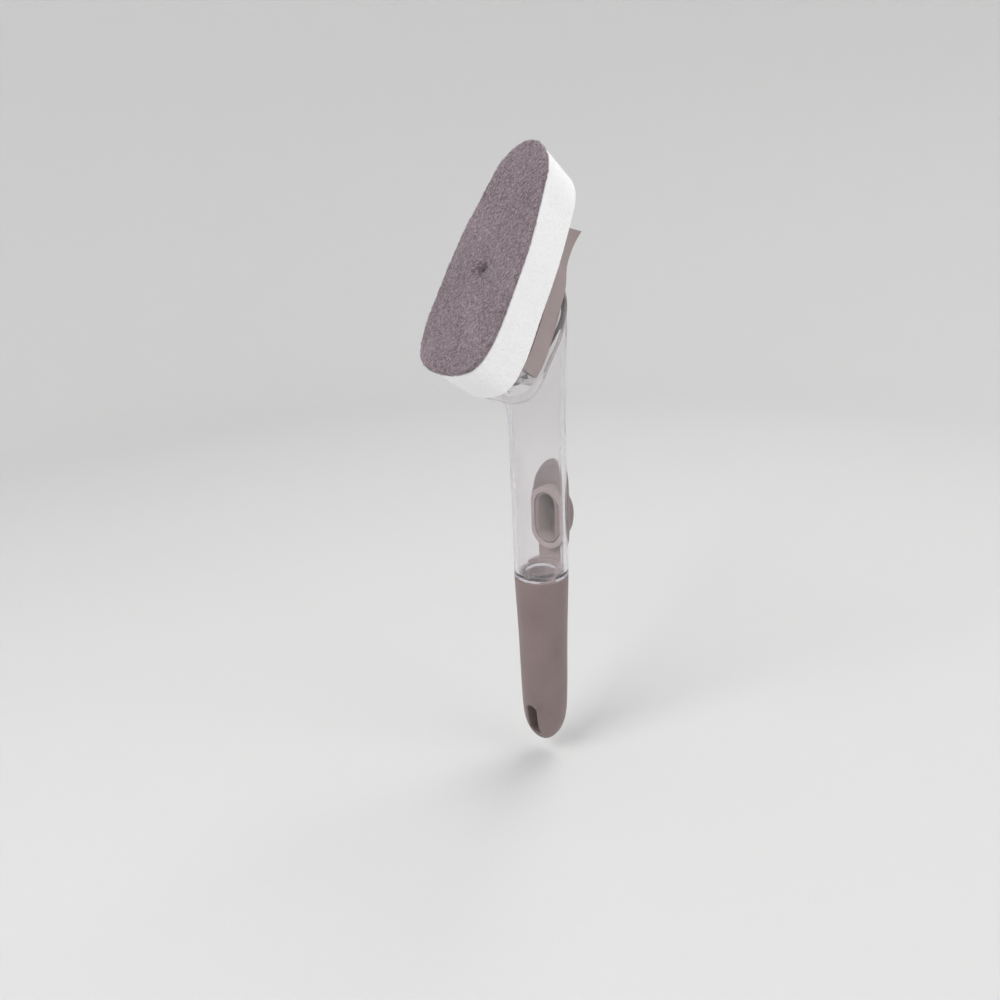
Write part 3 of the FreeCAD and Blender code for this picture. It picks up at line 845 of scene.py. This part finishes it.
    def grow_fibres(self, scourer: bpy.types.Object) -> None:
        """Scatters loose fibres over the scourer's outer faces.

        Args:
            scourer: The felted slab, whose mesh is replaced.
        """
        tree = GeometryTree("scour_fibres")
        density = tree.size("Fibres to the square metre", "Float", 1900000.0)
        length = tree.size("Fibre length", "Float", 1.5 * MM)
        radius = tree.size("Fibre radius", "Float", 0.065 * MM)
        seed = tree.size("Seed", "Int", 11)
        chosen = tree.node("GeometryNodeInputNamedAttribute", {"data_type": "BOOLEAN"}, Name="fuzz")
        spread = tree.node(
            "GeometryNodeDistributePointsOnFaces",
            Mesh=tree.surface, Selection=chosen.outputs[0], Density=density, Seed=seed,
        )
        bow = tree.node("GeometryNodeCurveQuadraticBezier", Resolution=3)
        reach = tree.node("ShaderNodeCombineXYZ", X=tree.math("MULTIPLY", length, 0.5)).outputs[0]
        rise = tree.node("ShaderNodeCombineXYZ", Z=tree.math("MULTIPLY", length, 0.22)).outputs[0]
        tree.feed(bow.inputs["Start"], tree.vector("SCALE", reach, -1.0))
        tree.feed(bow.inputs["Middle"], rise)
        tree.feed(bow.inputs["End"], reach)
        section = tree.node("GeometryNodeCurvePrimitiveCircle", Resolution=3, Radius=radius).outputs[0]
        strand = tree.node("GeometryNodeCurveToMesh", Curve=bow.outputs[0], Profile_Curve=section).outputs[0]
        lean = tree.random((-0.35, -0.35, -0.9), (0.35, 0.35, 0.9), seed, "FLOAT_VECTOR")
        normal = spread.outputs["Normal"]
        upright = tree.node("FunctionNodeAlignRotationToVector", {"axis": "Z"}, Vector=normal)
        combed = tree.node(
            "FunctionNodeAlignRotationToVector", {"axis": "X", "pivot_axis": "Z"},
            Rotation=upright.outputs[0], Vector=self.axes.direction(self.comb_deg),
        )
        tipped = tree.node("FunctionNodeEulerToRotation", Euler=lean).outputs[0]
        turned = tree.node(
            "FunctionNodeRotateRotation", {"rotation_space": "LOCAL"},
            Rotation=combed.outputs[0], Rotate_By=tipped,
        )
        strands = tree.node(
            "GeometryNodeInstanceOnPoints",
            Points=spread.outputs["Points"], Instance=strand,
            Rotation=turned.outputs[0], Scale=tree.random(0.55, 1.35, seed),
        ).outputs[0]
        toned = tree.node(
            "GeometryNodeStoreNamedAttribute", {"data_type": "FLOAT", "domain": "INSTANCE"},
            Geometry=strands, Name="fibre_tone", Value=tree.random(0.1, 1.0, tree.math("ADD", seed, 7.0)),
        ).outputs[0]
        loose = tree.node("GeometryNodeRealizeInstances", Geometry=toned).outputs[0]
        place = tree.node("GeometryNodeInputPosition").outputs[0]
        wave = tree.node("ShaderNodeTexNoise", Vector=place, Scale=420.0, Detail=1.0).outputs["Color"]
        swing = tree.vector("SCALE", tree.vector("SUBTRACT", wave, (0.5, 0.5, 0.5)), 0.8 * MM)
        loose = tree.node("GeometryNodeSetPosition", Geometry=loose, Offset=swing).outputs[0]
        loose = tree.node("GeometryNodeSetShadeSmooth", Geometry=loose, Shade_Smooth=True).outputs[0]
        join = tree.node("GeometryNodeJoinGeometry")
        for part in (tree.surface, loose):
            tree.feed(join.inputs[0], part)
        tree.bake(scourer, join.outputs[0], self.scour_finish.build())

    def build(self) -> list[bpy.types.Object]:
        """Makes the pads and dresses the base."""
        dress("head_base", self.base_finish.build())
        return [self.make_foam(), self.make_scourer()]


@dataclass
class SoapHandle:
    """Clear tube and lid that hold the soap, with the outlet valve."""

    clear_finish: ClearPlastic
    lid_finish: ClearPlastic
    seal_finish: SealRubber

    def build(self) -> list[bpy.types.Object]:
        """Dresses the clear pieces and the valve.

        Returns:
            No pieces, because these keep their solids.
        """
        dress("reservoir_body", self.clear_finish.build())
        lid = self.lid_finish.build()
        for node in ("head_shoe", "valve_ring"):
            dress(node, lid)
        dress("outlet_valve", self.seal_finish.build())
        return []


@dataclass
class ScrewGrip:
    """Soft grip over its threaded core, with the seal."""

    skin_finish: TaupeMoulding
    core_finish: TaupeMoulding
    seal_finish: SealRubber

    def build(self) -> list[bpy.types.Object]:
        """Dresses the grip's pieces.

        Returns:
            No pieces, because these keep their solids.
        """
        dress("grip_shell", self.skin_finish.build())
        dress("cap_core", self.core_finish.build())
        dress("cap_seal", self.seal_finish.build())
        return []


@dataclass
class DispenserButton:
    """Soft cover on the back of the tube: a flange that rises into the domed button."""

    skin_finish: TaupeMoulding
    carrier_finish: TaupeMoulding
    tube_radius: float = 12.6
    tube_wall: float = 2.0
    height: float = 26.0
    half_width: float = 7.2
    length: float = 24.0
    proud: float = 6.4
    crown: float = 4.2
    cross_radius: float = 10.0
    wall: float = 1.6
    root: float = 5.0
    hollow_half: float = 4.8
    hollow_reach: float = 6.6
    skirt_half: float = 10.6
    skirt_length: float = 45.0
    skirt_centre: float = 30.0
    skirt_thickness: float = 1.5
    leaf_power: float = 3.0
    window_half: float = 8.3
    dome_edge: float = 6.3
    edge_round: float = 2.4
    groove: float = 0.22
    groove_width: float = 0.55
    rim_step: float = 0.4
    collar_gap: float = 0.3
    seat_lift: float = 0.03
    wall_gap: float = 0.05
    give: float = 1.5
    around: int = 168

    def slot_ring(self, half: float, reach: float, centre: float) -> np.ndarray:
        """Upright slot outline that starts at its low end and is the same on both sides.

        Args:
            half: Half width.
            reach: Half length of the straight sides.
            centre: Height of the middle.

        Returns:
            Rows of across and height.
        """
        arc = self.around // 6
        low = np.linspace(-math.pi / 2, 0.0, arc, endpoint=False)
        side = np.linspace(-reach, reach, self.around // 2 - 2 * arc, endpoint=False)
        high = np.linspace(0.0, math.pi / 2, arc, endpoint=False)
        across = np.concatenate((half * np.cos(low), np.full(len(side), half), half * np.cos(high)))
        height = np.concatenate((half * np.sin(low) - reach, side, half * np.sin(high) + reach)) + centre
        across[0] = 0.0
        right = np.column_stack((across, height))
        left = np.column_stack((-across[:0:-1], height[:0:-1]))
        return np.vstack((right, [(0.0, centre + reach + half)], left))

    def morph_ring(self, share: float) -> np.ndarray:
        """Outline between the window's slot and the flange's edge.

        Args:
            share: Share of the way out, from 0 at the slot to 1 at the edge.

        Returns:
            Rows of across and height.
        """
        window_reach = self.length / 2 - self.half_width
        edge_reach = self.skirt_length / 2 - self.skirt_half
        inner = self.window_half + self.rim_step
        half = inner + share * (self.skirt_half - inner)
        reach = window_reach + share * (edge_reach - window_reach)
        centre = self.height + share * (self.skirt_centre - self.height)
        ring = self.slot_ring(half, reach, centre)
        off = np.clip(np.abs(ring[:, 1] - centre) / (reach + half), 0.0, 1.0)
        leaf = np.sign(ring[:, 0]) * half * np.sqrt(1 - off**self.leaf_power)
        ring[:, 0] += share**2 * (leaf - ring[:, 0])
        return ring

    def button_ring(self, half: float) -> np.ndarray:
        """Slot outline round the button's own middle line."""
        return self.slot_ring(half, self.length / 2 - self.half_width, self.height)

    def skin(self, ring: np.ndarray, depth: float) -> np.ndarray:
        """How far back the tube's wall lies under a ring, at a depth below its skin."""
        return np.sqrt((self.tube_radius - depth) ** 2 - ring[:, 0] ** 2)

    def outer(self, ring: np.ndarray) -> np.ndarray:
        """How far back the cover's outer face lies under a ring.

        Args:
            ring: Rows of across and height.

        Returns:
            The face's place along +Y: a thin flange, and over the window a dome crowned both ways.
        """
        across, height = ring.T
        off = np.clip(np.abs(height - self.skirt_centre) / (self.skirt_length / 2), 0.0, 1.0)
        leaf = self.skirt_half * np.sqrt(1 - off**self.leaf_power)
        end = self.skirt_length / 2 * (1 - off)
        inside = np.clip(np.minimum(leaf - np.abs(across), end) / self.edge_round, 0.0, 1.0)
        flange = self.skin(ring, 0.0) + self.skirt_thickness * np.sqrt(1 - (1 - inside) ** 2) + self.wall_gap
        crown_radius = ((self.length / 2) ** 2 + self.crown**2) / (2 * self.crown)
        off = np.clip(height - self.height, -self.length / 2, self.length / 2)
        top = self.tube_radius + self.proud - crown_radius + np.sqrt(crown_radius**2 - off**2)
        middle = self.tube_radius + self.proud - self.cross_radius
        dome = middle + np.sqrt(np.maximum((top - middle) ** 2 - across**2, 0.0))
        reach = self.length / 2 - self.half_width
        out = np.hypot(across, np.maximum(np.abs(height - self.height) - reach, 0.0))
        fall = np.clip((out - self.dome_edge) / (self.window_half - self.dome_edge), 0.0, 1.0)
        groove = self.groove * np.exp(-(((out - self.window_half) / self.groove_width) ** 2))
        return flange + np.maximum(dome - flange, 0.0) * (1 - fall**2 * (3 - 2 * fall)) - groove

    def outer_rings(self) -> list[np.ndarray]:
        """Rings of the cover's outer face, from the dome's middle line to the flange's edge.

        Returns:
            Rings of across, back and height.
        """
        halves = np.concatenate(([0.3], np.linspace(0.9, 4.8, 7), np.linspace(5.2, 8.7, 13)))
        shares = 1 - (1 - np.linspace(0.0, 1.0, 16)[1:]) ** 2
        flat = [self.button_ring(half) for half in halves] + [self.morph_ring(share) for share in shares]
        return [np.column_stack((ring[:, 0], self.outer(ring), ring[:, 1])) for ring in flat]

    def seat_rings(self) -> list[np.ndarray]:
        """Rings of the face that lies on the tube, and of the collar through its window.

        Returns:
            Rings of across, back and height.
        """
        deep = self.tube_wall - self.wall_gap
        flat = [(self.morph_ring(share), -self.seat_lift) for share in (0.75, 0.5, 0.25)]
        flat += [(self.button_ring(self.window_half), depth) for depth in (-self.seat_lift, deep)]
        flat += [(self.button_ring(self.half_width + self.collar_gap), deep)]
        return [np.column_stack((ring[:, 0], self.skin(ring, depth), ring[:, 1])) for ring, depth in flat]

    def hollow_rings(self) -> list[np.ndarray]:
        """Rings of the button's root and of its hollow, up to the middle line under the dome.

        Returns:
            Rings of across, back and height.
        """
        inner = self.slot_ring(self.hollow_half, self.hollow_reach, self.height)
        level = np.full(self.around, self.root)
        rim = (self.button_ring(self.half_width), inner)
        rings = [np.column_stack((ring[:, 0], level, ring[:, 1])) for ring in rim]
        for half in (self.hollow_half - 0.1, self.hollow_half - 0.5, 3.2, 1.7, 0.3):
            ring = self.slot_ring(half, self.hollow_reach, self.height)
            rings.append(np.column_stack((ring[:, 0], self.outer(ring) - self.wall, ring[:, 1])))
        return rings

    def make_cover(self) -> bpy.types.Object:
        """The one soft cover in place of button and flange, as a closed skin of rings.

        Returns:
            The finished cover.
        """
        hollow = self.hollow_rings()
        rings = self.outer_rings() + self.seat_rings() + hollow
        last = (len(rings) - 1) * self.around
        faces = Mesher.ring_faces(len(rings), self.around, False)
        for start in (0, last):
            for k in range(self.around // 2):
                near = (start + k, start + k + 1)
                far = (start + (-k - 1) % self.around, start + -k % self.around)
                faces.append(tuple(dict.fromkeys((*near, *far))))
        cover = Mesher.piece("button_cover", np.vstack(rings) * MM, faces)
        # painted shade inside the button's hollow: the hollow attribute darkens it, most towards its top end
        shade = cover.data.attributes.new("hollow", "FLOAT", "POINT")
        inside = (len(rings) - len(hollow) + 2) * self.around
        depth = np.zeros(len(cover.data.vertices))
        rise = (np.vstack(rings)[inside:, 2] - self.height) / (self.length / 2)
        depth[inside:] = np.interp(rise, (-1.0, -0.1, 0.6), (0.35, 0.60, 1.15))
        shade.data.foreach_set("value", depth)
        cover.data.materials.append(self.skin_finish.build())
        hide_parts("dispenser_button", "button_skirt")
        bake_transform(cover)
        return cover

    def build(self) -> list[bpy.types.Object]:
        """Makes the cover and dresses the carrier."""
        dress("button_carrier", self.carrier_finish.build())
        return [self.make_cover()]


@dataclass(frozen=True)
class Lamp:
    """Soft square lamp: its place to the picture's right, towards the camera and up, in metres."""

    name: str
    across: float
    out: float
    up: float
    size: float
    power: float


@dataclass
class Studio:
    """Pale sweep, soft lamps and the camera at the photographed angle.

    The camera's place and the floor's height are in millimetres, the sweep and the lamps in metres.
    """

    azimuth: float = 40.866
    elevation: float = 17.812
    distance: float = 406.6
    roll: float = 2.531
    focal_px: float = 911.48
    target: Triple = (0.0, 0.0, 50.0)
    aim: Triple = (-24.37, 0.0, 30.585)
    sensor_mm: float = 36.0
    picture_px: float = 1000.0
    floor_height: float = -96.8
    floor_reach: float = 0.75
    bend_radius: float = 0.5
    bend_steps: int = 16
    wall_height: float = 1.8
    sweep_around: int = 96
    card: Colour = (0.66, 0.66, 0.66)
    air: Colour = (1.0, 0.99, 0.985)
    air_strength: float = 0.54
    lamps: tuple[Lamp, ...] = (
        Lamp("key", -0.75, 0.75, 0.85, 0.7, 10.8),
        Lamp("fill", 0.95, 0.55, 0.35, 0.8, 4.2),
        Lamp("back", 0.35, -0.45, 0.95, 0.6, 4.8),
    )

    def view_axis(self) -> Vector:
        """Unit vector from the wand to the camera."""
        a, e = math.radians(self.azimuth), math.radians(self.elevation)
        return Vector((math.sin(a) * math.cos(e), -math.cos(a) * math.cos(e), math.sin(e)))

    def add_camera(self) -> None:
        """Camera that frames the wand as in a square picture of 1000 by 1000."""
        data = bpy.data.cameras.new("camera")
        data.sensor_width = self.sensor_mm
        data.lens = self.sensor_mm * self.focal_px / self.picture_px
        data.clip_start, data.clip_end = 0.01, 20.0
        camera = bpy.data.objects.new("camera", data)
        bpy.context.scene.collection.objects.link(camera)
        place = (Vector(self.target) + self.view_axis() * self.distance) * MM
        look = (Vector(self.aim) * MM - place).to_track_quat("-Z", "Y").to_matrix().to_4x4()
        roll = Matrix.Rotation(math.radians(-self.roll), 4, "Z")
        camera.matrix_world = Matrix.Translation(place) @ look @ roll
        bpy.context.scene.camera = camera

    def add_sweep(self) -> None:
        """Seamless floor that bends up into a round backdrop on all sides."""
        floor, around = self.floor_height * MM, self.sweep_around
        reach, bend = self.floor_reach, self.bend_radius
        profile = [(share * reach, 0.0) for share in (0.15, 0.4, 0.7, 1.0)]
        for k in range(1, self.bend_steps + 1):
            turn = math.radians(90.0 * k / self.bend_steps)
            profile.append((reach + bend * math.sin(turn), bend * (1 - math.cos(turn))))
        profile.append((reach + bend, self.wall_height))
        turns = np.linspace(0.0, 2 * math.pi, around, endpoint=False)
        points = [(r * math.cos(t), r * math.sin(t), floor + h) for r, h in profile for t in turns]
        faces = Mesher.ring_faces(len(profile), around, False) + [tuple(range(around))]
        sweep = Mesher.piece("sweep", np.array(points), faces)
        sweep.data.materials.append(PaleCard("pale_card", self.card).build())

    def add_lamp(self, plan: Lamp) -> None:
        """Adds a lamp that faces the wand.

        Args:
            plan: The lamp's place, size and power.
        """
        forward = self.view_axis()
        forward.z = 0.0
        forward.normalize()
        right = Vector((-forward.y, forward.x, 0.0))
        middle = Vector(self.target) * MM
        place = middle + right * plan.across + forward * plan.out + Vector((0.0, 0.0, plan.up))
        data = bpy.data.lights.new(plan.name, "AREA")
        data.size = plan.size
        data.energy = plan.power
        lamp = bpy.data.objects.new(plan.name, data)
        bpy.context.scene.collection.objects.link(lamp)
        lamp.location = place
        lamp.rotation_euler = (middle - place).to_track_quat("-Z", "Y").to_euler()

    def add_world(self) -> None:
        """Soft pale surroundings."""
        world = bpy.data.worlds.new("studio_air")
        world.use_nodes = True
        sky = world.node_tree.nodes["Background"]
        sky.inputs["Color"].default_value = (*self.air, 1.0)
        sky.inputs["Strength"].default_value = self.air_strength
        bpy.context.scene.world = world

    def build(self) -> None:
        """Sets up the whole studio."""
        self.add_camera()
        self.add_sweep()
        self.add_world()
        for lamp in self.lamps:
            self.add_lamp(lamp)
        bpy.context.scene.view_settings.view_transform = "Standard"


def triangles(piece: bpy.types.Object) -> int:
    """Number of triangles in a piece's mesh."""
    piece.data.calc_loop_triangles()
    return len(piece.data.loop_triangles)


def main() -> None:
    """Builds the wand's pieces in order and reports each one."""
    logging.basicConfig(level=logging.INFO, format="%(name)s: %(message)s")
    base = TaupeMoulding(
        name="taupe_base",
        # hollow is the colour of the painted shade inside a hollow
        hollow=(0.12, 0.088, 0.080), dark=(0.310, 0.250, 0.247),
        light=(0.352, 0.288, 0.284), worn=(0.470, 0.410, 0.405),
        rough=(0.36, 0.48), grain_per_m=4200.0, grain_mm=0.05,
    )
    soft = TaupeMoulding(
        name="taupe_rubber",
        # hollow is the colour of the painted shade inside the button's hollow
        hollow=(0.062, 0.030, 0.020), dark=(0.190, 0.140, 0.133),
        light=(0.218, 0.164, 0.156), worn=(0.290, 0.230, 0.222),
        rough=(0.52, 0.68), grain_per_m=5200.0, grain_mm=0.06, sheen=0.15,
    )
    clear = ClearPlastic(
        name="clear_plastic",
        tint=(0.975, 0.962, 0.957), depth_tint=(0.80, 0.785, 0.86), depth_per_m=90.0,
        haze=(0.02, 0.06), clarity=0.97, bending=1.49,
    )
    lid = ClearPlastic(
        name="clear_lid",
        tint=(0.985, 0.978, 0.975), depth_tint=(0.92, 0.91, 0.94), depth_per_m=20.0,
        haze=(0.02, 0.05), clarity=0.90, bending=1.22,
    )
    seal = SealRubber("milky_silicone", (0.52, 0.50, 0.49), (0.66, 0.64, 0.63))
    assemblies = [
        SoapHandle(clear, lid, seal),
        ScrewGrip(soft, base, seal),
        DispenserButton(soft, base),
        ScrubbingHead(
            base,
            # the foam's second colour is the painted shade in its cell pits
            FoamCells("white_foam", (0.94, 0.93, 0.935), (0.80, 0.79, 0.795)),
            # the scouring web's first colour is the painted shade between its fibres
            ScourFibre("scouring_web", (0.092, 0.066, 0.077), (0.245, 0.188, 0.213), (0.46, 0.375, 0.42)),
        ),
    ]
    for assembly in assemblies:
        for piece in assembly.build():
            LOG.info("%s: %d triangles", piece.name, triangles(piece))
    Studio().build()


if __name__ == "__main__":
    main()
